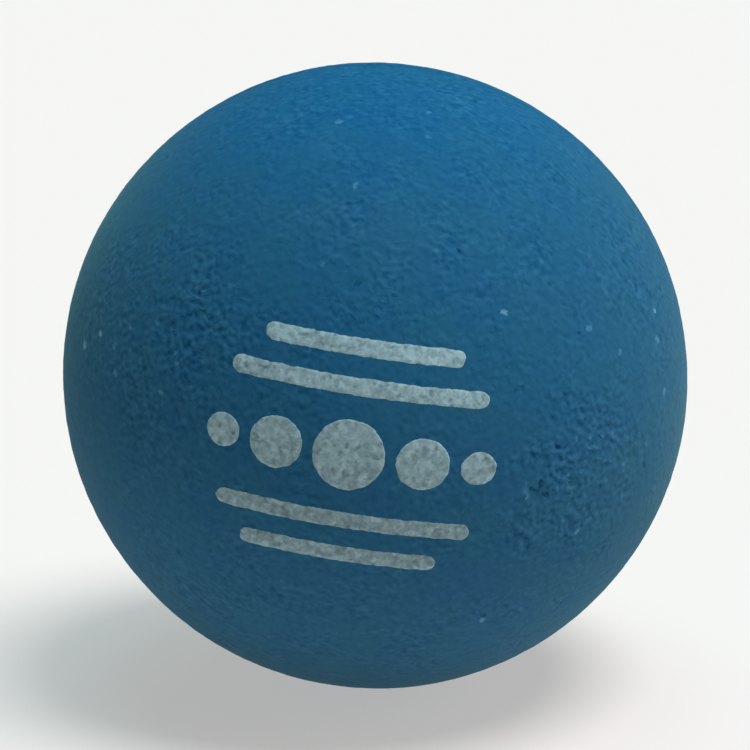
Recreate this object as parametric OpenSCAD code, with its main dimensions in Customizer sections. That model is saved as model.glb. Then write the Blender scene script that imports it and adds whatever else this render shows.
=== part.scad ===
// Squash ball: a hollow rubber ball, moulded as two half shells that are
// cemented rim to rim, buffed to a matt skin and printed with a plain mark.
//
// Millimetres. The origin is the centre of the ball and +Z is up. The rims meet
// in the XZ plane, so +Y is the axis on which the halves are pressed together.
// The front half is on the -Y side, with the mark centred on its pole.

/* [Ball] */
// Outside diameter of the ball
ball_d = 40; // [39.5:0.1:40.5]
// Thickness of the rubber wall
wall = 5.2; // [4:0.1:6.5]

/* [Seam] */
// Thickness of the cement film between the rims
cement_t = 0.16; // [0.08:0.02:0.3]
// Radius of the bead of cement squeezed out into the cavity
bead_r = 0.45; // [0.25:0.05:0.8]

/* [Printed mark] */
// Thickness of the ink film
ink_t = 0.04; // [0.02:0.01:0.08]
// Diameter of the round outline that the mark fills
mark_d = 17; // [15:0.5:19]
// Clockwise turn of the mark about the front pole, in degrees
mark_turn = 8; // [-180:1:180]
// Diameter of the middle dot
dot_big = 4.2; // [3:0.1:5]
// How much smaller each dot is than its inner neighbour
dot_step = 1.1; // [0.5:0.1:1.2]
// Gap between neighbouring dots
dot_gap = 0.65; // [0.3:0.05:1]
// Width of a bar
bar_w = 1; // [0.6:0.1:1.4]
// Distance of the inner bars from the row of dots
bar_y = 4; // [3.6:0.1:4.6]
// Pitch from an inner bar to an outer bar
bar_pitch = 2.2; // [1.6:0.1:2.4]

/* [Hidden] */
$fn = 180;
ball_r = ball_d / 2;
cavity_r = ball_r - wall;
far = ball_d;

// Diameter of the dot i places out from the middle one
function dot_d(i) = dot_big - dot_step * i;
// Distance of the dot i places out, with a gap between each pair of neighbours
function dot_x(i) = i == 0 ? 0 : dot_x(i - 1) + dot_d(i - 1) / 2 + dot_gap + dot_d(i) / 2;

// Distance of the centre of a bar's round end from the bar's middle, at height y
function bar_l(y) = sqrt(pow(mark_d / 2, 2) - y * y) - bar_w / 2;

// Half shell with its pole on +Z. Its flat rim stands half the cement film
// above the seam plane.
module half_shell() {
    difference() {
        sphere(r = ball_r);
        sphere(r = cavity_r);
        translate([0, 0, cement_t / 2 - far / 2]) cube(far, center = true);
    }
}

// Ring of cement about the Z axis: the film between the rims, flush with the
// skin outside, and a bead with a round face towards the cavity.
module cement_ring() {
    difference() {
        intersection() {
            sphere(r = ball_r);
            cylinder(r = far, h = cement_t, center = true);
        }
        sphere(r = cavity_r);
    }
    intersection() {
        rotate_extrude() translate([cavity_r, 0]) circle(r = bead_r, $fn = 48);
        sphere(r = cavity_r);
    }
}

// Ink film of even thickness on the skin, cut to a column that runs along +Z
module ink() {
    intersection() {
        difference() {
            sphere(r = ball_r + ink_t);
            sphere(r = ball_r);
        }
        children();
    }
}

module dot(i) {
    ink() translate([sign(i) * dot_x(abs(i)), 0, 0]) cylinder(d = dot_d(abs(i)), h = far, $fn = 96);
}

// Straight bar at height y, with round ends that just reach the round outline
module bar(y) {
    l = bar_l(y);
    ink() union() {
        translate([-l, y - bar_w / 2, 0]) cube([2 * l, bar_w, far]);
        for (s = [-1, 1]) translate([s * l, y, 0]) cylinder(d = bar_w, h = far, $fn = 48);
    }
}

module front_half_shell() {
    color([0.11, 0.36, 0.52]) rotate([90, 0, 0]) half_shell();
}

module rear_half_shell() {
    color([0.10, 0.34, 0.50]) rotate([-90, 0, 0]) half_shell();
}

module seam_cement() {
    color([0.16, 0.27, 0.33]) rotate([90, 0, 0]) cement_ring();
}

module printed_mark() {
    color([0.56, 0.63, 0.64]) rotate([90, 0, 0]) rotate([0, 0, -mark_turn]) {
        for (i = [-2:2]) dot(i);
        for (side = [-1, 1], k = [0, 1]) bar(side * (bar_y + k * bar_pitch));
    }
}

front_half_shell();
rear_half_shell();
seam_cement();
printed_mark();
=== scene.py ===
"""Looks of the squash ball: buffed rubber half shells, the cement in their seam
and the printed mark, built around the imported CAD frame. Lengths in the mesh
code are millimetres in the CAD frame; Blender objects are in metres."""

import math

import bpy
import numpy as np
from mathutils import Matrix, Vector
from mathutils.bvhtree import BVHTree


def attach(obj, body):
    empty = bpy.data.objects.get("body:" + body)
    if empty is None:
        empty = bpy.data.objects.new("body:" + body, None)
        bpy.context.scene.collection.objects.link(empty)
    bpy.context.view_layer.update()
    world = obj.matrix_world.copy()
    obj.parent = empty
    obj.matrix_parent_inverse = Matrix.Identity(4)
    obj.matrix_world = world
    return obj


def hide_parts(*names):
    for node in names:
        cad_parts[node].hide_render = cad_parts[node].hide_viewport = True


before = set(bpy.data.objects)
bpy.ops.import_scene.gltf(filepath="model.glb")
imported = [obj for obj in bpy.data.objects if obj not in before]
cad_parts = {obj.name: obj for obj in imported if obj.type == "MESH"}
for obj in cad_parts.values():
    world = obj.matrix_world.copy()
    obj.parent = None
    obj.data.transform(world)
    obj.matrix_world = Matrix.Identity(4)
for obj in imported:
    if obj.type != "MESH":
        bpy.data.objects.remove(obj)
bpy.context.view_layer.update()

MM = 0.001
BALL_R = 20.0
CAVITY_R = 14.8
CEMENT_T = 0.16
BEAD_R = 0.45

# The mark: a row of graded dots between pairs of bars, inside a round outline.
MARK_R = 8.5
MARK_TURN = math.radians(8.0)
DOTS = ((-7.5, 2.0), (-4.3, 3.1), (0.0, 4.2), (4.3, 3.1), (7.5, 2.0))
BARS = (-6.2, -4.0, 4.0, 6.2)
BAR_W = 1.0


# ---------------------------------------------------------------- noise

class Noise:
    """Seeded gradient noise on points, about -1 to 1, one lattice cell per unit."""

    def __init__(self, seed):
        rng = np.random.RandomState(seed)
        self.perm = rng.permutation(1024)
        grad = rng.normal(size=(1024, 3))
        self.grad = grad / np.linalg.norm(grad, axis=1, keepdims=True)

    def __call__(self, p):
        cell = np.floor(p).astype(np.int64)
        f = p - cell
        w = f * f * f * (f * (f * 6 - 15) + 10)
        out = np.zeros(len(p))
        for dx in (0, 1):
            for dy in (0, 1):
                for dz in (0, 1):
                    h = self.perm[(cell[:, 0] + dx) & 1023]
                    h = self.perm[(h + cell[:, 1] + dy) & 1023]
                    h = self.perm[(h + cell[:, 2] + dz) & 1023]
                    g = (self.grad[h] * (f - (dx, dy, dz))).sum(1)
                    out += (
                        g
                        * (w[:, 0] if dx else 1 - w[:, 0])
                        * (w[:, 1] if dy else 1 - w[:, 1])
                        * (w[:, 2] if dz else 1 - w[:, 2])
                    )
        return out * 1.7


def smooth(a, b, x):
    t = np.clip((x - a) / (b - a), 0, 1)
    return t * t * (3 - 2 * t)


LUMP, WARP_A, WARP_B, WARP_C = Noise(11), Noise(12), Noise(13), Noise(14)
GRAIN, FINE, PATCH, SEAM = Noise(15), Noise(16), Noise(18), Noise(19)


def view_dir(px, py):
    """Unit direction from the ball's centre to the skin that the picture shows at
    a pixel, for placing the marks of wear that lie there."""
    x = (px - CENTRE_PX[0]) / RADIUS_PX
    y = -(py - CENTRE_PX[1]) / RADIUS_PX
    # the ray through that pixel meets the sphere
    eye = Vector((0, 0, CAM_DIST))
    ray = Vector((x * LIMB_TAN, y * LIMB_TAN, -1.0)).normalized()
    b = eye.dot(ray)
    c = eye.dot(eye) - BALL_R * BALL_R
    hit = eye + ray * (-b - math.sqrt(max(b * b - c, 0.0)))
    return (CAM_ROT @ hit).normalized()


# ---------------------------------------------------------------- camera

CENTRE_PX, RADIUS_PX = (374.7, 375.0), 313.4
AZ, EL = math.radians(4.4), math.radians(13.3)
CAM_DIST = 9.0 * BALL_R
LIMB_TAN = math.tan(math.asin(BALL_R / CAM_DIST))
out = Vector((math.sin(AZ) * math.cos(EL), -math.cos(AZ) * math.cos(EL), math.sin(EL)))
right = Vector((math.cos(AZ), math.sin(AZ), 0.0))
up = out.cross(right)
CAM_ROT = Matrix((right, up, out)).transposed()

cam_data = bpy.data.cameras.new("camera")
cam_data.sensor_width = 36.0
cam_data.lens = RADIUS_PX / LIMB_TAN * 36.0 / 750.0
cam_data.clip_start, cam_data.clip_end = 0.005, 50.0
cam_data.shift_x = -(CENTRE_PX[0] - 374.5) / 750.0
cam_data.shift_y = (CENTRE_PX[1] - 374.5) / 750.0
camera = bpy.data.objects.new("camera", cam_data)
bpy.context.scene.collection.objects.link(camera)
camera.matrix_world = Matrix.Translation(out * CAM_DIST * MM) @ CAM_ROT.to_4x4()
bpy.context.scene.camera = camera


# ---------------------------------------------------------------- rubber skin

# Marks of wear in the skin, each between two pixels of the picture: half width in millimetres, and how much paler or
# darker it is than the skin around. The dark ones are partly nicks and partly painted shade in creases, the pale
# ridges partly painted highlight.
MARKS = (
    # nicks and short scores, their dark partly painted shade in the creases
    (529, 488, 534, 489.5, 0.19, -31), (540.6, 479, 541, 489, 0.24, -40), (541.5, 493, 549, 494.5, 0.20, -30),
    (533, 490.5, 540, 490.5, 0.18, -20), (545, 486.5, 550, 486, 0.17, -20), (549, 474, 551.5, 478, 0.16, -18),
    (555.5, 444.5, 558.5, 447.5, 0.17, -27), (560, 455, 563.5, 461, 0.15, -19), (536.6, 451.5, 537, 455, 0.16, -17),
    (587, 449, 592, 451, 0.15, -16), (588, 453, 592, 460, 0.18, -19), (592, 450.5, 605, 448, 0.14, -14),
    (569, 481, 572.5, 482.5, 0.16, -20), (600, 484, 601, 487, 0.20, -23), (633, 450, 635, 451.5, 0.17, -16),
    (643, 461, 645, 467, 0.25, -27), (600, 464, 612, 463, 0.15, -13), (586, 509, 589, 508, 0.17, -14),
    (458, 249, 459.5, 251.5, 0.19, -29), (577.5, 332.5, 580.5, 331, 0.18, -27), (353.5, 283.5, 359.5, 282, 0.18, -20),
    (344, 203, 358, 202, 0.15, -15), (565, 392, 566, 394, 0.18, -18), (484, 613, 484, 616, 0.18, -17),
    (181, 317, 191, 313.5, 0.19, -26), (164, 326, 175, 322, 0.18, -24), (172, 330, 176, 336, 0.17, -14),
    # pale ridges beside them, partly painted highlight on their lit side
    (525, 482, 526, 498, 0.25, 21), (551, 450.5, 557, 451, 0.17, 19), (564, 460, 567, 462.5, 0.21, 27),
    (588, 448, 594, 446.5, 0.20, 22), (594, 446.5, 602, 448, 0.20, 19), (597, 458, 612, 461, 0.17, 14),
    (585, 472, 589, 480, 0.17, 16), (603, 478, 607, 480, 0.18, 16), (622, 463, 623, 470, 0.24, 22),
    (553, 486, 559, 489, 0.17, 15), (611, 433, 618, 436, 0.19, 16), (576, 436, 577, 441, 0.22, 25),
    (430, 250, 440, 250, 0.17, 14), (562, 520, 566, 521, 0.19, 14), (645, 443, 647, 445, 0.24, 22),
    # flecks of dust
    (501.5, 310.5, 506, 312.5, 0.24, 62), (98.5, 332, 99.3, 335, 0.30, 76), (654.5, 310, 656.5, 309, 0.28, 58),
    (83, 341.5, 84, 347.5, 0.36, 68), (354, 187.5, 356, 182, 0.20, 32), (480.5, 618.5, 482.5, 620.5, 0.28, 48),
    (587.5, 328.5, 591.5, 327, 0.23, 33), (336.5, 122, 341, 120.5, 0.30, 34), (657, 337, 658.5, 340, 0.33, 42),
    (575.5, 533.5, 578, 529.5, 0.28, 31), (526.5, 498, 528.5, 495.5, 0.25, 25), (426.5, 112.5, 429, 110.5, 0.22, 27),
    (664.5, 389.5, 665.5, 391.5, 0.34, 48), (321.5, 265.5, 324, 262.5, 0.20, 21), (568, 473, 569.5, 475, 0.23, 26),
    (589, 437, 591.5, 438.5, 0.23, 26), (425, 136, 431, 136, 0.20, 18), (113, 369, 115, 375, 0.30, 28),
    (128, 324, 130, 328, 0.20, 28), (158, 391, 161, 394, 0.25, 37), (173, 351, 176, 353, 0.27, 29),
    (175, 364, 178, 366, 0.26, 24), (156, 319, 157, 324, 0.24, 21), (112, 344, 114, 346, 0.29, 35),
    (619, 352, 621, 351, 0.30, 31), (349, 116, 351, 116, 0.32, 17),
)
WEAR_AND_PAINTED_SHADE = [(view_dir(x0, y0), view_dir(x1, y1), half, tone) for x0, y0, x1, y1, half, tone in MARKS]
# Out of the picture's sight, wear and painted shade of the same kind lie at random.
_rng = np.random.RandomState(23)
while len(WEAR_AND_PAINTED_SHADE) < len(MARKS) + 30:
    v = Vector(_rng.normal(size=3)).normalized()
    turn, reach, half = _rng.uniform(0, math.pi), _rng.uniform(0.05, 0.4), _rng.uniform(0.15, 0.22)
    tone = (-24, -15, 16, 26, 44)[_rng.randint(5)]
    if v.dot(out) < -0.05:
        t = v.orthogonal().normalized()
        step = (t * math.cos(turn) + v.cross(t) * math.sin(turn)) * ((reach if tone < 20 else 0.1) / BALL_R)
        WEAR_AND_PAINTED_SHADE.append(((v - step).normalized(), (v + step).normalized(), half, tone))
SCARS = [(np.array(a), np.array(b), half, 0.0016 * tone) for a, b, half, tone in WEAR_AND_PAINTED_SHADE if tone < 26]
_rng = np.random.RandomState(5)
PITS = []
for _ in range(110):
    v = _rng.normal(size=3)
    v /= np.linalg.norm(v)
    PITS.append((v, _rng.uniform(0.15, 0.24), _rng.uniform(0.012, 0.03), _rng.uniform(0.6, 1.6)))

# Where the buffing left the grain deeper or shallower: pixel of the picture, how much,
# and how far it reaches, as the cosines of the angles where it is full and gone.
TEXTURE = [
    (np.array(view_dir(x, y)), gain, full, gone)
    for x, y, gain, full, gone in (
        (580, 489, 1.10, 0.984, 0.948), (135, 330, 1.15, 0.975, 0.91), (350, 275, 0.12, 0.99, 0.95),
        (375, 690, -0.42, 0.985, 0.90), (205, 175, -0.20, 0.98, 0.92), (375, 80, 0.40, 0.97, 0.90),
        (655, 300, 0.20, 0.97, 0.90), (190, 560, 0.20, 0.97, 0.92), (105, 465, -0.30, 0.985, 0.94),
        (92, 285, -0.30, 0.985, 0.93),
    )
]

# The buffing ran across this direction, so the folds of the grain lie across it too; the painted light and shade of
# the folds take their light from this side.
ACROSS = np.array((0.39, 0.24, 0.89)) / np.linalg.norm((0.39, 0.24, 0.89))
# The ball is a hair out of round: the directions in which it is longest and shortest.
LONG = np.array(right * math.cos(math.radians(125.0)) + up * math.sin(math.radians(125.0)))
SHORT = np.array(right * math.cos(math.radians(35.0)) + up * math.sin(math.radians(35.0)))


def grain(d):
    """Relief of the buffed skin in millimetres about its own mean, the share of it that
    dust and shade follow, and how deep it is, for unit directions."""
    p = d * BALL_R
    q = p / 1.5
    warp = np.stack([WARP_A(q), WARP_B(q), WARP_C(q)], 1)
    s = p + 0.28 * warp
    s += 0.35 * (s @ ACROSS)[:, None] * ACROSS
    pebble = GRAIN(s / 0.48)
    lump = FINE(s / 0.74 + 50.0)
    swell = LUMP(s / 1.15 + 90.0)
    # how deep the buffing left it, in patches
    deep = 1.0 + 0.30 * PATCH(p / 5.0)
    for c, gain, full, gone in TEXTURE:
        deep *= 1.0 + gain * smooth(gone, full, d @ c)
    h = deep * 0.010 * pebble + deep**0.75 * (0.015 * lump + 0.012 * swell)
    return h, deep * (0.25 * pebble + 0.25 * lump), deep


def relief(d):
    """Height of the skin over the nominal ball in millimetres, the grain's shade and
    its depth."""
    p = d * BALL_R
    h, g, deep = grain(d)
    h += 0.018 * LUMP(p / 7.0) - 0.045 + 0.08 * ((d @ LONG) ** 2 - (d @ SHORT) ** 2)
    for c, r, low, dark in PITS:
        near = d @ c > math.cos(2.4 * r / BALL_R)
        if near.any():
            dist = np.linalg.norm(d[near] - c, axis=1) * BALL_R / r
            dip = np.exp(-dist * dist * 1.2)
            h[near] -= low * dip
            g[near] -= dark * dip
    for a, b, r, high in SCARS:
        mid, along = (a + b) / 2, b - a
        near = np.linalg.norm(d - mid, axis=1) < np.linalg.norm(along) / 2 + 2.4 * r / BALL_R
        if near.any():
            t = np.clip((d[near] - a) @ along / (along @ along), 0, 1)
            dist = np.linalg.norm(d[near] - a - t[:, None] * along, axis=1) * BALL_R / r
            h[near] += high * np.exp(-dist * dist * 1.2) * (1 - 0.5 * np.abs(2 * t - 1))
    # the seam: a shallow valley along the rims, buffed away in places
    off = np.abs(p[:, 1])
    worn = 0.35 + 0.65 * smooth(-0.5, 0.5, SEAM(p * (1, 0, 1) / 3.0))
    h -= worn * (0.014 * np.exp(-((off / 0.22) ** 2)) + 0.012 * np.exp(-((off / 0.9) ** 2)))
    return h, g, deep


def dome(n):
    """Unit hemisphere about +Z as rings of 4k points, with its triangles; the last
    ring lies on the rim."""
    pts, start = [(0.0, 0.0, 1.0)], [0]
    for k in range(1, n + 1):
        start.append(len(pts))
        a = math.pi / 2 * k / n
        for j in range(4 * k):
            b = math.pi / 2 * j / k
            pts.append((math.sin(a) * math.cos(b), math.sin(a) * math.sin(b), math.cos(a)))
    tris = []
    for k in range(1, n + 1):
        inner, outer = 4 * (k - 1), 4 * k
        for q in range(4):
            for j in range(k):
                o0 = start[k] + q * k + j
                o1 = start[k] + (q * k + j + 1) % outer
                i0 = start[k - 1] + (q * (k - 1) + j) % inner if inner else 0
                tris.append((o0, o1, i0))
                if j < k - 1:
                    i1 = start[k - 1] + (q * (k - 1) + j + 1) % inner
                    tris.append((i0, o1, i1))
    return np.array(pts), np.array(tris), start[n]


def stitch(a, b):
    """Triangles of a strip between two closed loops of points that turn the same
    way from the same angle, with counts that may differ."""
    na, nb = len(a), len(b)
    tris, i, j = [], 0, 0
    while i < na or j < nb:
        if j >= nb or (i < na and (i + 0.5) / na <= (j + 0.5) / nb):
            tris.append((a[i % na], a[(i + 1) % na], b[j % nb]))
            i += 1
        else:
            tris.append((a[i % na], b[(j + 1) % nb], b[j % nb]))
            j += 1
    return tris


def new_object(name, verts, tris, smooth_faces=True):
    mesh = bpy.data.meshes.new(name)
    mesh.vertices.add(len(verts))
    mesh.vertices.foreach_set("co", (np.asarray(verts, float) * MM).astype(np.float32).ravel())
    tris = np.asarray(tris, np.int32)
    mesh.loops.add(3 * len(tris))
    mesh.loops.foreach_set("vertex_index", tris.ravel())
    mesh.polygons.add(len(tris))
    mesh.polygons.foreach_set("loop_start", np.arange(0, 3 * len(tris), 3, dtype=np.int32))
    mesh.update(calc_edges=True)
    mesh.polygons.foreach_set("use_smooth", np.full(len(tris), smooth_faces))
    ob = bpy.data.objects.new(name, mesh)
    bpy.context.scene.collection.objects.link(ob)
    return ob


def point_values(ob, name, values):
    at = ob.data.attributes.new(name, "FLOAT", "POINT")
    at.data.foreach_set("value", np.asarray(values, np.float32))


def unwrap(ob, groups):
    """Lays the faces out flat: each group is a count of faces, in their order, and the
    place of every vertex for them."""
    mesh = ob.data
    layer = mesh.uv_layers.new(name="OFBake")
    index = np.empty(len(mesh.loops), np.int32)
    mesh.loops.foreach_get("vertex_index", index)
    flat, at = np.empty((len(index), 2), np.float32), 0
    for count, place in groups:
        flat[at : at + 3 * count] = place[index[at : at + 3 * count]]
        at += 3 * count
    layer.data.foreach_set("uv", flat.ravel())


def half_shell(name, side, rings=196, inner_rings=64):
    """One half shell: the outer skin with its relief, the flat rim and the moulded
    wall of the cavity, closed. side is -1 for the front half and 1 for the rear."""

    def place(p):
        # the pole goes from +Z to the half's own pole on the Y axis
        return np.stack([p[:, 0], side * p[:, 2], -side * p[:, 1]], 1)

    d, tri, rim = dome(rings)
    # the last ring comes down to the rim, half the cement film off the seam plane
    lift = math.asin(CEMENT_T / 2 / BALL_R)
    ang = np.arccos(np.clip(d[:, 2], -1, 1)) * (1 - lift / (math.pi / 2))
    flat = d[:, :2] / np.maximum(np.linalg.norm(d[:, :2], axis=1, keepdims=True), 1e-12)
    d = np.concatenate([flat * np.sin(ang)[:, None], np.cos(ang)[:, None]], 1)
    d = place(d)
    h, g, deep = relief(d)
    skin = d * (BALL_R + h)[:, None]
    skin[rim:, 1] = side * CEMENT_T / 2

    e, tri_in, rim_in = dome(inner_rings)
    lift = math.asin(CEMENT_T / 2 / CAVITY_R)
    ang = np.arccos(np.clip(e[:, 2], -1, 1)) * (1 - lift / (math.pi / 2))
    flat = e[:, :2] / np.maximum(np.linalg.norm(e[:, :2], axis=1, keepdims=True), 1e-12)
    e = place(np.concatenate([flat * np.sin(ang)[:, None], np.cos(ang)[:, None]], 1))
    wall = e * (CAVITY_R + 0.015 * LUMP(e * CAVITY_R / 3.0 + 40.0))[:, None]
    wall[rim_in:] = e[rim_in:] * CAVITY_R
    wall[rim_in:, 1] = side * CEMENT_T / 2

    # the rim, buffed for the cement: loops from the skin in to the cavity
    loops, verts = [list(range(rim, len(skin)))], [skin]
    base = len(skin)
    n = 480
    t = np.arange(n) * 2 * math.pi / n
    turn = place(np.stack([np.cos(t), np.sin(t), np.zeros(n)], 1))
    for r in np.linspace(19.4, 15.3, 6):
        ring = turn * r
        ring[:, 1] = side * CEMENT_T / 2
        verts.append(ring)
        loops.append(list(range(base, base + n)))
        base += n
    verts.append(wall)
    loops.append(list(range(base + rim_in, base + len(wall))))
    faces = [tri]
    for a, b in zip(loops, loops[1:]):
        faces.append(np.array(stitch(a, b))[:, ::-1])
    faces.append(tri_in[:, ::-1] + base)
    faces = np.concatenate(faces)
    verts = np.concatenate(verts)
    # outward faces: the signed volume decides
    a, b, c = (verts[faces[:, k]] for k in range(3))
    if np.einsum("ij,ij->", a, np.cross(b, c)) < 0:
        faces = faces[:, ::-1]
    ob = new_object(name, verts, faces)
    # the skin fills a disc, and what is inside the ball goes in two corners beside it
    flat = verts[:, (0, 2)] / np.maximum(np.linalg.norm(verts[:, (0, 2)], axis=1, keepdims=True), 1e-9)
    tilt = np.arctan2(np.linalg.norm(verts[:, (0, 2)], axis=1), side * verts[:, 1]) / (math.pi / 2)
    across = np.linalg.norm(verts[:, (0, 2)], axis=1) / BALL_R
    rim_faces = len(faces) - len(tri) - len(tri_in)
    unwrap(ob, (
        (len(tri), 0.5 + flat * (0.49 * tilt)[:, None]),
        (rim_faces, 0.915 + flat * (0.078 * across)[:, None]),
        (len(tri_in), 0.085 + flat * (0.078 * tilt)[:, None]),
    ))
    values = np.zeros(len(verts))
    values[: len(g)] = g
    point_values(ob, "grain", values)
    values = np.full(len(verts), 0.3)
    values[: len(g)] = deep
    point_values(ob, "depth", values)
    inside = np.ones(len(verts))
    inside[: len(g)] = 0.0
    point_values(ob, "inside", inside)
    return ob, skin, tri


# ---------------------------------------------------------------- cement

def cement_ring():
    """The cement between the rims: a film, sunk a little below the skin outside, and
    the uneven bead that was squeezed into the cavity."""
    n = 960
    t = np.arange(n) * 2 * math.pi / n
    c, s = np.cos(t), np.sin(t)
    d = np.stack([c, np.zeros(n), s], 1)
    h, _, _ = relief(d)
    outer = BALL_R + h + 0.004
    bead = BEAD_R * (0.82 + 0.22 * SEAM(d * 9.0 + 70.0))
    half = CEMENT_T / 2
    rows = [(outer - 0.004, -half), (outer, -half * 0.5), (outer, half * 0.5), (outer - 0.004, half)]
    rows += [(np.full(n, 17.5), half), (np.full(n, math.sqrt(CAVITY_R**2 - half**2)), half)]
    # the bead's round face, from one wall of the cavity to the other
    m = 11
    for k in range(m):
        a = math.pi / 2 - math.pi * (k + 0.5) / m
        y = bead * math.sin(a)
        # it starts on the cavity's wall, which leans in away from the seam
        wall_r = np.sqrt(CAVITY_R**2 - y**2)
        rows.append((np.minimum(wall_r, CAVITY_R - bead * math.cos(a)), y))
    rows += [(np.full(n, math.sqrt(CAVITY_R**2 - half**2)), -half), (np.full(n, 17.5), -half)]
    verts = []
    for r, y in rows:
        verts.append(np.stack([c * r, np.broadcast_to(y, n), s * r], 1))
    k = len(rows)
    verts = np.concatenate(verts)
    faces = []
    for i in range(k):
        a, b = i * n, ((i + 1) % k) * n
        for j in range(n):
            j2 = (j + 1) % n
            faces += [(a + j, a + j2, b + j2), (a + j, b + j2, b + j)]
    faces = np.array(faces)
    p, q, r = (verts[faces[:, x]] for x in range(3))
    if np.einsum("ij,ij->", p, np.cross(q, r)) < 0:
        faces = faces[:, ::-1]
    return new_object("seam_cement_ring", verts, faces)


# ---------------------------------------------------------------- printed mark

EDGE = Noise(31)
FILM = Noise(32)


def mark_to_skin(u, v, tree):
    """Points of the mark's own plane, wrapped on the skin of the front half: unit
    directions and the skin's radius there."""
    cs, sn = math.cos(MARK_TURN), math.sin(MARK_TURN)
    x, z = u * cs + v * sn, -u * sn + v * cs
    y = -np.sqrt(np.maximum(BALL_R**2 - x * x - z * z, 0))
    d = np.stack([x, y, z], 1) / BALL_R
    r = np.empty(len(d))
    for i, w in enumerate(d):
        hit = tree.ray_cast(Vector(w * 21.0), Vector(-w), 2.0)[0]
        r[i] = hit.length if hit else BALL_R
    return d, r


def film_solid(u, v, tris, rim, depth, tree, verts, faces, edges):
    """Adds one closed piece of ink: a top that follows the skin and thins to its
    edge, and an underside on the skin. depth is each point's distance from the edge."""
    d, r = mark_to_skin(u, v, tree)
    p = np.stack([u, v, np.zeros(len(u))], 1)
    painted_top_light = 0.004 + 0.014 * smooth(0.0, 0.12, depth) * (1 + 0.35 * FILM(p / 0.30))
    base = sum(len(x) for x in verts)
    verts.append(d * (r + painted_top_light)[:, None])
    verts.append(d * (r - 0.004)[:, None])
    edges += [depth, depth]
    n = len(u)
    faces.append(tris + base)
    faces.append(tris[:, ::-1] + base + n)
    ring = np.array(rim)
    nxt = np.roll(ring, -1)
    faces.append(np.stack([ring, ring + n, nxt + n], 1) + base)
    faces.append(np.stack([ring, nxt + n, nxt], 1) + base)


def rough_edge(u, v):
    p = np.stack([u, v, np.full(len(u), 3.7)], 1)
    return 0.045 * EDGE(p / 0.55) + 0.03 * EDGE(p / 0.22 + 9.0)


def dot_film(x, dia, tree, *film):
    rings = max(6, int(dia / 2 / 0.07))
    seg = max(40, int(math.pi * dia / 0.08))
    t = np.arange(seg) * 2 * math.pi / seg
    cu, cv = np.cos(t), np.sin(t)
    edge = dia / 2 + rough_edge(x + cu * dia / 2, cv * dia / 2)
    u, v, depth = [np.array([x])], [np.array([0.0])], [np.array([dia / 2])]
    for k in range(1, rings + 1):
        f = k / rings
        u.append(x + cu * edge * f)
        v.append(cv * edge * f)
        depth.append(edge * (1 - f))
    tris = [(0, 1 + j, 1 + (j + 1) % seg) for j in range(seg)]
    for k in range(1, rings):
        a, b = 1 + (k - 1) * seg, 1 + k * seg
        for j in range(seg):
            j2 = (j + 1) % seg
            tris += [(a + j, b + j, b + j2), (a + j, b + j2, a + j2)]
    rim = [1 + (rings - 1) * seg + j for j in range(seg)]
    film_solid(np.concatenate(u), np.concatenate(v), np.array(tris), rim, np.concatenate(depth), tree, *film)


def bar_film(y, tree, *film):
    """A bar with round ends, which just reach the mark's round outline."""
    half = BAR_W / 2
    across = 21
    w = np.sin(np.linspace(-math.pi / 2, math.pi / 2, across))
    v0 = y + half * w
    ends = math.sqrt(MARK_R**2 - y**2) - half + half * np.sqrt(np.maximum(1 - w * w, 0))
    along = int(2 * MARK_R / 0.075)
    f = np.linspace(-1, 1, along)
    u = f[:, None] * ends[None, :]
    v = np.broadcast_to(v0[None, :], u.shape).copy()
    # uneven edges: the outline moves, and the inside follows it less and less
    push = rough_edge(u.ravel(), v.ravel()).reshape(u.shape)
    v += push * w[None, :] ** 3
    u += push * f[:, None] ** 9
    depth = np.minimum(half * (1 - np.abs(w))[None, :], (1 - np.abs(f))[:, None] * ends[None, :])
    ids = np.arange(along * across).reshape(along, across)
    a, b, c, d = ids[:-1, :-1], ids[1:, :-1], ids[1:, 1:], ids[:-1, 1:]
    tris = np.concatenate([
        np.stack([a.ravel(), b.ravel(), c.ravel()], 1),
        np.stack([a.ravel(), c.ravel(), d.ravel()], 1),
    ])
    rim = list(ids[:, 0]) + list(ids[-1, 1:]) + list(ids[-2::-1, -1]) + list(ids[0, -2:0:-1])
    film_solid(u.ravel(), v.ravel(), tris, rim, depth.ravel(), tree, *film)


def printed_mark(skin, tri):
    tree = BVHTree.FromPolygons([tuple(x) for x in skin], [tuple(x) for x in tri])
    verts, faces, edges = [], [], []
    for x, dia in DOTS:
        dot_film(x, dia, tree, verts, faces, edges)
    for y in BARS:
        bar_film(y, tree, verts, faces, edges)
    ob = new_object("printed_mark_film", np.concatenate(verts), np.concatenate(faces))
    point_values(ob, "edge", np.concatenate(edges))
    return ob


# ---------------------------------------------------------------- materials

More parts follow.
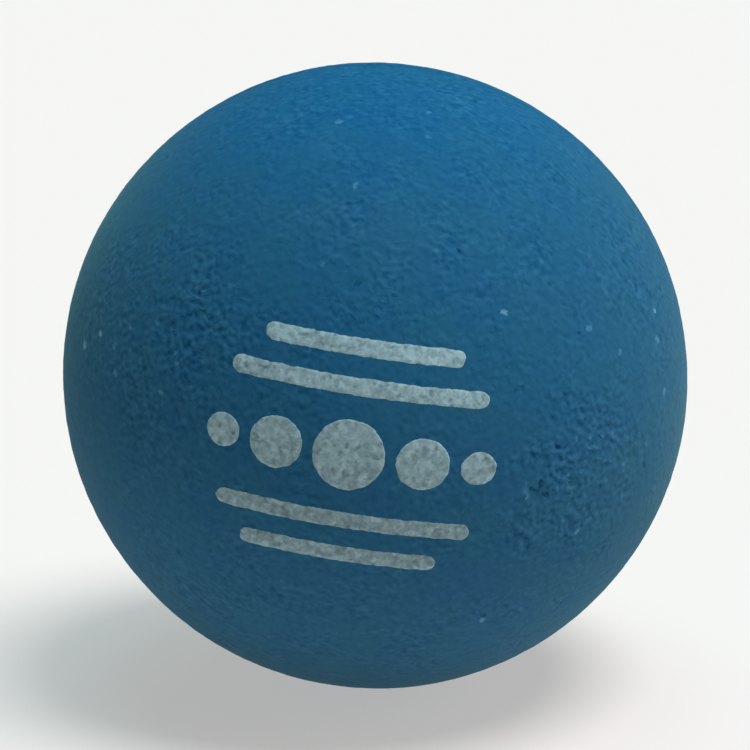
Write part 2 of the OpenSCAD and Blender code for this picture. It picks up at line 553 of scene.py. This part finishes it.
class Nodes:
    """Short hands for building a material's node tree."""

    def __init__(self, name):
        self.mat = bpy.data.materials.new(name)
        self.mat.use_nodes = True
        self.tree = self.mat.node_tree
        self.tree.nodes.clear()
        self.out = self.tree.nodes.new("ShaderNodeOutputMaterial")
        self.bsdf = self.tree.nodes.new("ShaderNodeBsdfPrincipled")
        self.tree.links.new(self.bsdf.outputs["BSDF"], self.out.inputs["Surface"])
        self.coord = self.tree.nodes.new("ShaderNodeTexCoord").outputs["Object"]

    def put(self, socket, value):
        if isinstance(value, bpy.types.NodeSocket):
            self.tree.links.new(value, socket)
        else:
            socket.default_value = value

    def math(self, op, a, b=0.0, third=0.0):
        n = self.tree.nodes.new("ShaderNodeMath")
        n.operation = op
        for socket, value in zip(n.inputs, (a, b, third)):
            self.put(socket, value)
        return n.outputs[0]

    def noise(self, size_mm, detail=2.0, rough=0.5, distortion=0.0, vector=None):
        n = self.tree.nodes.new("ShaderNodeTexNoise")
        n.inputs["Scale"].default_value = 1000.0 / size_mm
        n.inputs["Detail"].default_value = detail
        n.inputs["Roughness"].default_value = rough
        n.inputs["Distortion"].default_value = distortion
        self.put(n.inputs["Vector"], vector or self.coord)
        return n.outputs["Fac"]

    def ramp(self, x, lo, hi, a=0.0, b=1.0, soft=True):
        n = self.tree.nodes.new("ShaderNodeMapRange")
        n.interpolation_type = "SMOOTHSTEP" if soft else "LINEAR"
        for key, val in (("Value", x), ("From Min", lo), ("From Max", hi), ("To Min", a), ("To Max", b)):
            self.put(n.inputs[key], val)
        return n.outputs[0]

    def mix(self, fac, a, b):
        n = self.tree.nodes.new("ShaderNodeMix")
        n.data_type = "RGBA"
        self.put(n.inputs[0], fac)
        self.put(n.inputs[6], a)
        self.put(n.inputs[7], b)
        return n.outputs[2]

    def lift(self, colour, amount, tint, least):
        """The colour with so much of a tint added, and never under the least."""
        n = self.tree.nodes.new("ShaderNodeVectorMath")
        n.operation = "MULTIPLY_ADD"
        self.put(n.inputs[0], amount)
        n.inputs[1].default_value = tint
        self.put(n.inputs[2], colour)
        low = self.tree.nodes.new("ShaderNodeVectorMath")
        low.operation = "MAXIMUM"
        self.put(low.inputs[0], n.outputs[0])
        low.inputs[1].default_value = least
        return low.outputs[0]

    def value(self, name):
        n = self.tree.nodes.new("ShaderNodeAttribute")
        n.attribute_name = name
        return n.outputs["Fac"]

    def wander(self, size_mm, reach_mm):
        """The object's coordinates, pushed about a little."""
        n = self.tree.nodes.new("ShaderNodeTexNoise")
        n.inputs["Scale"].default_value = 1000.0 / size_mm
        n.inputs["Detail"].default_value = 1.0
        self.put(n.inputs["Vector"], self.coord)
        off = self.tree.nodes.new("ShaderNodeVectorMath")
        off.operation = "SUBTRACT"
        self.put(off.inputs[0], n.outputs["Color"])
        off.inputs[1].default_value = (0.5, 0.5, 0.5)
        add = self.tree.nodes.new("ShaderNodeVectorMath")
        add.operation = "MULTIPLY_ADD"
        self.put(add.inputs[0], off.outputs[0])
        add.inputs[1].default_value = (reach_mm * MM,) * 3
        self.put(add.inputs[2], self.coord)
        return add.outputs[0]

    def stroke(self, place, a_mm, b_mm, half_mm, amount):
        """A soft stroke between two fixed points of the ball, as an ellipse about them."""
        far = []
        for point in (a_mm, b_mm):
            n = self.tree.nodes.new("ShaderNodeVectorMath")
            n.operation = "DISTANCE"
            self.put(n.inputs[0], place)
            n.inputs[1].default_value = [c * MM for c in point]
            far.append(n.outputs["Value"])
        apart = (Vector(a_mm) - Vector(b_mm)).length
        edge = math.sqrt(apart * apart + 4 * half_mm * half_mm)
        return self.ramp(self.math("ADD", *far), edge * MM, apart * MM, 0.0, amount)

    def shift(self, vector, by_mm):
        """The place so far along the way that the buffing crossed, the side from which the folds' painted light falls.
        """
        n = self.tree.nodes.new("ShaderNodeVectorMath")
        n.operation = "ADD"
        self.put(n.inputs[0], vector)
        n.inputs[1].default_value = [c * by_mm * MM for c in ACROSS]
        return n.outputs[0]

    def height(self):
        n = self.tree.nodes.new("ShaderNodeSeparateXYZ")
        self.put(n.inputs[0], self.coord)
        return n.outputs["Z"]

    def cells(self, size_mm, rand=1.0, vector=None):
        n = self.tree.nodes.new("ShaderNodeTexVoronoi")
        n.inputs["Scale"].default_value = 1000.0 / size_mm
        n.inputs["Randomness"].default_value = rand
        self.put(n.inputs["Vector"], vector or self.coord)
        return n.outputs["Distance"], n.outputs["Color"]

    def split(self, colour):
        n = self.tree.nodes.new("ShaderNodeSeparateColor")
        self.put(n.inputs[0], colour)
        return n.outputs

    def bump(self, height, strength, distance_mm, normal=None):
        n = self.tree.nodes.new("ShaderNodeBump")
        n.inputs["Strength"].default_value = strength
        n.inputs["Distance"].default_value = distance_mm * MM
        self.put(n.inputs["Height"], height)
        if normal is not None:
            self.put(n.inputs["Normal"], normal)
        return n.outputs[0]


def rgb(r, g, b):
    return (r, g, b, 1.0)


# Shares of the grain's parts: fine folds, coarse folds, and thin curved ridges.
NAP = (0.41, 0.205, 0.075)
# What one unit of grain's dust and painted light and shade adds to the rubber's colour, greyer than the rubber itself.
DUST_AND_SHADE_TINT = (0.040, 0.115, 0.167)


def rubber():
    m = Nodes("buffed_blue_rubber")
    g, deep = m.value("grain"), m.value("depth")
    # broad shifts of the compound, and a thin greyish bloom in patches
    broad = m.noise(3.4, 2.0, 0.55)
    mid = m.noise(1.5, 3.0, 0.6)
    # the fine grain of the buffed skin, in calmer and livelier patches
    lively = m.math("MULTIPLY", deep, m.ramp(m.noise(2.3, 1.0, 0.5), 0.34, 0.66, 0.65, 1.35))
    bent = m.wander(1.3, 0.45)

    def lit_side_less_shaded_side(make, reach_mm):
        # painted light and shade: the upper, lit side of a fold made paler, less its lower, shaded side
        return m.math("SUBTRACT", make(m.shift(bent, -reach_mm)), make(m.shift(bent, reach_mm)))

    def ridge(v):
        off = m.math("SUBTRACT", m.noise(0.85, 0.0, 0.5, 0.6, vector=v), 0.5)
        return m.ramp(m.math("ABSOLUTE", off), 0.09, 0.0)

    fine = lit_side_less_shaded_side(lambda v: m.noise(0.40, 0.0, 0.5, 0.0, vector=v), 0.09)
    coarse = lit_side_less_shaded_side(lambda v: m.noise(0.74, 1.0, 0.5, 0.0, vector=v), 0.15)
    # between the folds, a plain grain that runs no way
    fine = m.math("MULTIPLY_ADD", m.math("SUBTRACT", m.noise(0.31, 0.0, 0.5, 0.3), 0.5), 0.75, third=fine)
    coarse = m.math("MULTIPLY_ADD", m.math("SUBTRACT", m.noise(0.56, 1.0, 0.5, 0.3), 0.5), 0.75, third=coarse)
    # thin curved ridges, in flocks, with painted light and shade on their sides
    worm = m.math("MULTIPLY", lit_side_less_shaded_side(ridge, 0.06), m.ramp(m.noise(1.9, 1.0, 0.5), 0.44, 0.62))
    nap = m.math("ADD", m.math("MULTIPLY", fine, NAP[0]), m.math("MULTIPLY", coarse, NAP[1]))
    nap = m.math("ADD", nap, m.math("MULTIPLY", worm, NAP[2]))
    nap = m.math("MULTIPLY", nap, lively)
    colour = m.mix(m.ramp(broad, 0.35, 0.65), rgb(0.0120, 0.1085, 0.2262), rgb(0.0136, 0.1150, 0.2182))
    colour = m.mix(m.ramp(mid, 0.42, 0.72, 0.0, 0.35), colour, rgb(0.0124, 0.1072, 0.209))
    # the dust of handling lies thinner towards the top
    # painted light: bluer towards the top, where cool light falls from above
    z = m.height()
    colour = m.lift(colour, m.ramp(z, 0.0118, 0.0197), (-0.0085, 0.001, 0.032), (0.001, 0.0, 0.0))
    # painted light: paler and warmer towards the bottom, where warm light bounces up from below
    colour = m.lift(colour, m.ramp(z, 0.006, -0.010), (0.0056, 0.0042, 0.003), (0.001, 0.0, 0.0))
    # painted light: redder lower down, for the same warm bounce
    colour = m.lift(colour, m.ramp(z, 0.009, 0.0), (0.0022, 0.0, 0.0), (0.001, 0.0, 0.0))
    # it greys the tops of the grain with dust, paints the lit upper sides of the folds paler and their shaded lower
    # sides darker, and the hollows stay deep
    dust_and_painted_shade = m.math("ADD", m.math("MULTIPLY", g, 0.11), nap)
    ragged = m.wander(0.23, 0.36)
    # the marks of wear, with their painted shade and highlight, as strokes
    for a, b, half, tone in WEAR_AND_PAINTED_SHADE:
        a, b = a * (BALL_R - 0.04), b * (BALL_R - 0.04)
        dust_and_painted_shade = m.math("ADD", dust_and_painted_shade, m.stroke(ragged, a, b, half, tone / (44.0 if tone > 0 else 54.0)))
    dist, pick = m.cells(1.5)
    lot = m.split(pick)
    size = m.ramp(lot[1], 0.0, 1.0, 0.09, 0.17, soft=False)
    strewn = m.ramp(m.math("DIVIDE", dist, size), 1.0, 0.1, 0.0, 0.22)
    strewn = m.math("MULTIPLY", strewn, m.math("GREATER_THAN", lot[0], 0.7))
    dust_and_painted_shade = m.math("ADD", dust_and_painted_shade, strewn)
    colour = m.lift(colour, dust_and_painted_shade, DUST_AND_SHADE_TINT, (0.0008, 0.036, 0.070))
    colour = m.lift(colour, m.math("MAXIMUM", m.math("SUBTRACT", dust_and_painted_shade, 0.35), 0.0), (0.06, 0.03, 0.0), (0.0, 0.0, 0.0))
    bloom = m.math("MULTIPLY", m.ramp(m.noise(8.0, 3.0, 0.6), 0.45, 0.75), m.ramp(mid, 0.3, 0.7))
    colour = m.mix(m.math("MULTIPLY", bloom, 0.12), colour, rgb(0.040, 0.140, 0.200))
    # the moulded wall inside is plain and darker
    colour = m.mix(m.value("inside"), colour, rgb(0.006, 0.085, 0.2))
    m.put(m.bsdf.inputs["Base Color"], colour)
    rough = m.ramp(m.math("ADD", dust_and_painted_shade, m.math("MULTIPLY", mid, 0.4)), -0.1, 0.5, 0.76, 0.90)
    m.put(m.bsdf.inputs["Roughness"], rough)
    m.put(m.bsdf.inputs["Normal"], m.bump(nap, 1.0, 0.05))
    m.bsdf.inputs["Specular IOR Level"].default_value = 0.07
    m.bsdf.inputs["Sheen Weight"].default_value = 0.108
    m.bsdf.inputs["Sheen Roughness"].default_value = 0.5
    m.bsdf.inputs["Sheen Tint"].default_value = rgb(0.56, 1.0, 0.67)
    return m.mat


def ink():
    m = Nodes("pale_rubber_ink")
    # painted light: the ink is paler towards the top, where light falls from above, and a little bead of it lies along
    # the edges
    painted_top_light = m.ramp(m.height(), -0.007, 0.006)
    thin = m.mix(painted_top_light, rgb(0.170, 0.259, 0.290), rgb(0.243, 0.366, 0.398))
    full = m.mix(painted_top_light, rgb(0.306, 0.447, 0.493), rgb(0.402, 0.574, 0.613))
    speck = m.noise(0.38, 2.0, 0.55, 0.3)
    colour = m.mix(m.ramp(speck, 0.33, 0.67, soft=False), thin, full)
    colour = m.mix(m.ramp(m.value("edge"), 0.20, 0.06, 0.0, 0.12), colour, rgb(0.400, 0.570, 0.608))
    # paler grit, and smudges where it wore thin on the grain of the rubber
    colour = m.mix(m.ramp(m.noise(0.54, 1.0, 0.5, 0.3), 0.55, 0.70, 0.0, 0.50), colour, rgb(0.460, 0.640, 0.680))
    colour = m.mix(m.ramp(m.noise(0.43, 1.0, 0.5, 0.4), 0.51, 0.80, 0.0, 0.80), colour, rgb(0.115, 0.195, 0.220))
    dist, pick = m.cells(0.75, vector=m.wander(0.30, 0.30))
    lot = m.split(pick)
    pin = m.math("MULTIPLY", m.ramp(dist, 0.30, 0.05), m.math("GREATER_THAN", lot[0], 0.84))
    colour = m.mix(m.math("MULTIPLY", pin, 0.65), colour, rgb(0.035, 0.120, 0.180))
    m.put(m.bsdf.inputs["Base Color"], colour)
    m.put(m.bsdf.inputs["Roughness"], m.ramp(speck, 0.3, 0.7, 0.65, 0.85))
    m.put(m.bsdf.inputs["Normal"], m.bump(m.noise(0.30, 3.0, 0.6), 0.8, 0.05))
    m.bsdf.inputs["Specular IOR Level"].default_value = 0.12
    return m.mat


def cement():
    m = Nodes("cured_cement")
    n = m.noise(0.5, 3.0, 0.6)
    m.put(m.bsdf.inputs["Base Color"], m.mix(m.ramp(n, 0.35, 0.65), rgb(0.0095, 0.090, 0.182), rgb(0.0125, 0.112, 0.220)))
    m.put(m.bsdf.inputs["Roughness"], m.ramp(n, 0.3, 0.7, 0.70, 0.90))
    m.put(m.bsdf.inputs["Normal"], m.bump(m.noise(0.15, 2.0, 0.5), 0.2, 0.03))
    m.bsdf.inputs["Specular IOR Level"].default_value = 0.08
    return m.mat


# ---------------------------------------------------------------- build

RUBBER, INK, CEMENT = rubber(), ink(), cement()

front, front_skin, front_tri = half_shell("front_half_shell_skin", -1)
rear, _, _ = half_shell("rear_half_shell_skin", 1)
ring = cement_ring()
mark = printed_mark(front_skin, front_tri)

for ob, node, mat, slot in (
    (front, "front_half_shell", RUBBER, "rubber"),
    (rear, "rear_half_shell", RUBBER, "rubber"),
    (ring, "seam_cement", CEMENT, "cement"),
    (mark, "printed_mark", INK, "ink"),
):
    ob.data.materials.append(mat)
    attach(ob, "root")
    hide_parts(node)


# ---------------------------------------------------------------- stage and light

def stage_floor():
    """A pale, softly glowing floor: lit by the lights, with a glow of its own that
    keeps the shadow light."""
    mesh = bpy.data.meshes.new("floor")
    n, size, z = 96, 12.0, -BALL_R * MM
    pts = [(0, 0, z)] + [(size * math.cos(2 * math.pi * i / n), size * math.sin(2 * math.pi * i / n), z) for i in range(n)]
    mesh.from_pydata(pts, [], [(0, 1 + i, 1 + (i + 1) % n) for i in range(n)])
    ob = bpy.data.objects.new("floor", mesh)
    bpy.context.scene.collection.objects.link(ob)
    m = Nodes("pale_floor")
    m.bsdf.inputs["Base Color"].default_value = FLOOR_COLOUR
    m.bsdf.inputs["Roughness"].default_value = 1.0
    m.bsdf.inputs["Specular IOR Level"].default_value = 0.0
    m.bsdf.inputs["Emission Color"].default_value = FLOOR_GLOW
    seen = m.tree.nodes.new("ShaderNodeLightPath").outputs["Is Camera Ray"]
    m.put(m.bsdf.inputs["Emission Strength"], m.ramp(seen, 0.0, 1.0, 1.0, FLOOR_SEEN, soft=False))
    mesh.materials.append(m.mat)


def softbox(name, azimuth, elevation, angle, strength, colour):
    """A far, broad light, as an even glow over the floor. The azimuth is counted
    from the camera's, to its right."""
    light = bpy.data.lights.new(name, "SUN")
    light.energy = strength * math.pi
    light.angle = math.radians(angle)
    light.color = colour
    ob = bpy.data.objects.new(name, light)
    a, e = AZ + math.radians(azimuth), math.radians(elevation)
    v = Vector((math.sin(a) * math.cos(e), -math.cos(a) * math.cos(e), math.sin(e)))
    ob.location = v * 1.5
    ob.rotation_euler = v.to_track_quat("Z", "Y").to_euler()
    bpy.context.scene.collection.objects.link(ob)


FLOOR_COLOUR = rgb(0.531, 0.443, 0.401)
FLOOR_GLOW = rgb(0.345, 0.339, 0.332)
FLOOR_SEEN = 1.23
stage_floor()
softbox("key", 73, 71, 30, 0.846, (0.90, 1.0, 1.087))
softbox("top", 0, 90, 30, 0.159, (0.67, 1.0, 1.18))
softbox("back", 195, 58, 40, 0.090, (0.05, 1.0, 1.0))
softbox("right", 90, 22, 40, 0.194, (0.96, 1.0, 0.97))
softbox("left", 250, 55, 60, 0.034, (0.55, 1.0, 0.80))

# the air around is dim, and pale only behind the floor's edge
world = bpy.data.worlds.new("studio")
bpy.context.scene.world = world
world.use_nodes = True
tree = world.node_tree
glow = tree.nodes["Background"]
glow.inputs["Color"].default_value = (0.90, 0.90, 0.90, 1.0)
ray = tree.nodes.new("ShaderNodeLightPath")
level = tree.nodes.new("ShaderNodeMapRange")
tree.links.new(ray.outputs["Is Camera Ray"], level.inputs["Value"])
level.inputs["To Min"].default_value = 0.01
level.inputs["To Max"].default_value = 1.0
tree.links.new(level.outputs[0], glow.inputs["Strength"])

view = bpy.context.scene.view_settings
view.view_transform = "Standard"
view.look = "None"
